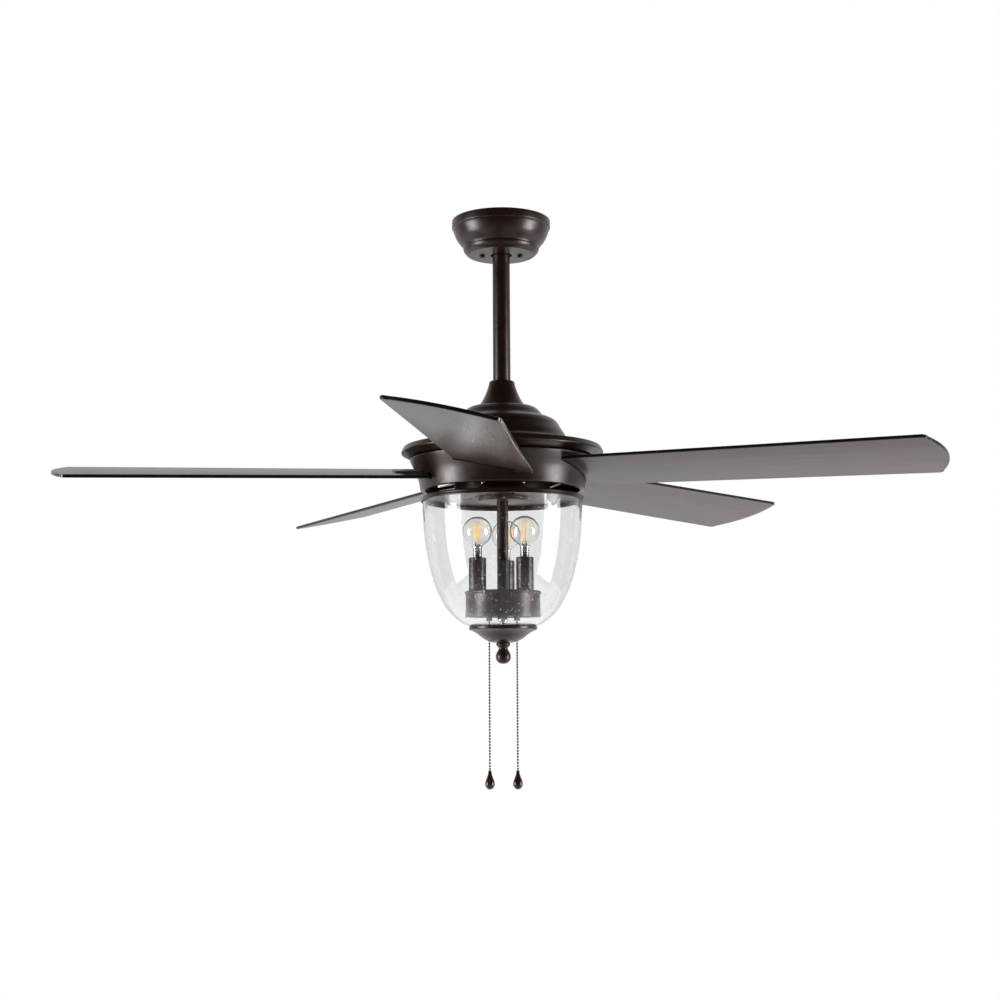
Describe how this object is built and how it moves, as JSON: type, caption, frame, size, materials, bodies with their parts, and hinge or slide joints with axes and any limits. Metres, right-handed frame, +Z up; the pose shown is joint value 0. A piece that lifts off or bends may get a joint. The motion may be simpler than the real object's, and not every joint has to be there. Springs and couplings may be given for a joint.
{
  "type": "ceiling fan with light",
  "caption": "Ceiling fan on a downrod with broad pitched blades, a turning blade drum and a candle-lamp cluster inside a clear seeded glass bowl with two pull chains.",
  "frame": {"origin": "middle of the ceiling face of the hanger bracket, where it is screwed to the outlet box", "axes": "+Z up to the ceiling along the downrod and the motor shaft, +X to the right and -Y towards the viewer"},
  "size_m": [1.2613, 1.2477, 0.8639],
  "materials": {
    "oil_rubbed_bronze": "satin dark brown",
    "zinc_steel": "bright zinc plate",
    "motor_casting": "as cast",
    "dark_walnut": "dark walnut veneer, satin",
    "seeded_glass": "clear with small bubbles",
    "lamp_glass": "clear",
    "lamp_cap": "bright",
    "filament": "amber filaments on a glass stem",
    "black_plastic": "moulded",
    "black_rubber": "matt",
    "chain_bronze": "dark bead chain",
    "fob_walnut": "gloss"
  },
  "bodies": {
    "ceiling_mount": {"hanger_bracket": "zinc_steel", "canopy": "oil_rubbed_bronze", "canopy_screw_1": "zinc_steel", "canopy_screw_2": "zinc_steel"},
    "hanger": {"hanger_ball": "motor_casting", "hanger_pin": "zinc_steel"},
    "pendant": {"downrod": "oil_rubbed_bronze", "yoke_coupling": "motor_casting", "clevis_pin": "zinc_steel", "yoke_cover": "oil_rubbed_bronze", "upper_housing": "oil_rubbed_bronze", "flange_ring": "oil_rubbed_bronze", "motor_shaft": "zinc_steel", "stator": "motor_casting", "upper_bearing": "zinc_steel", "lower_bearing": "zinc_steel", "light_kit_hub": "oil_rubbed_bronze", "fitter_pan": "oil_rubbed_bronze", "centre_tube": "oil_rubbed_bronze", "tie_rod": "zinc_steel", "cluster_body": "oil_rubbed_bronze", "cluster_plate": "oil_rubbed_bronze", "pull_switch_1": "black_plastic", "pull_switch_2": "black_plastic", "candle_sleeve_1": "oil_rubbed_bronze", "candle_sleeve_2": "oil_rubbed_bronze", "candle_sleeve_3": "oil_rubbed_bronze", "lamp_socket_1": "black_plastic", "lamp_socket_2": "black_plastic", "lamp_socket_3": "black_plastic", "bulb_base_1": "lamp_cap", "bulb_base_2": "lamp_cap", "bulb_base_3": "lamp_cap", "bulb_glass_1": "lamp_glass", "bulb_glass_2": "lamp_glass", "bulb_glass_3": "lamp_glass", "filament_1": "filament", "filament_2": "filament", "filament_3": "filament", "glass_bowl": "seeded_glass", "bottom_gasket": "black_rubber", "bottom_cap": "oil_rubbed_bronze", "finial": "oil_rubbed_bronze"},
    "rotor": {"rotor_lid": "motor_casting", "rotor_case": "motor_casting", "blade_drum": "oil_rubbed_bronze", "blade_1": "dark_walnut", "blade_2": "dark_walnut", "blade_3": "dark_walnut", "blade_4": "dark_walnut", "blade_5": "dark_walnut", "blade_arm_1": "motor_casting", "blade_arm_2": "motor_casting", "blade_arm_3": "motor_casting", "blade_arm_4": "motor_casting", "blade_arm_5": "motor_casting"},
    "fan_chain": {"pull_chain_1": "chain_bronze", "chain_fob_1": "fob_walnut"},
    "light_chain": {"pull_chain_2": "chain_bronze", "chain_fob_2": "fob_walnut"}
  },
  "joints": [
    {"name": "sway_x", "type": "hinge", "parent": "ceiling_mount", "child": "hanger", "pos_m": [0, 0, -0.0262], "axis": [1, 0, 0], "range_deg": [-3, 3]},
    {"name": "sway_y", "type": "hinge", "parent": "hanger", "child": "pendant", "pos_m": [0, 0, -0.0262], "axis": [0, 1, 0], "range_deg": [-3, 3]},
    {"name": "rotor_spin", "type": "hinge", "parent": "pendant", "child": "rotor", "pos_m": [0, 0, -0.396], "axis": [0, 0, 1], "continuous": true},
    {"name": "fan_chain_pull", "type": "slide", "parent": "pendant", "child": "fan_chain", "axis": [0, 0, -1], "range_m": [0, 0.009], "stiffness_N_per_m": 600},
    {"name": "light_chain_pull", "type": "slide", "parent": "pendant", "child": "light_chain", "axis": [0, 0, -1], "range_m": [0, 0.009], "stiffness_N_per_m": 600}
  ]
}
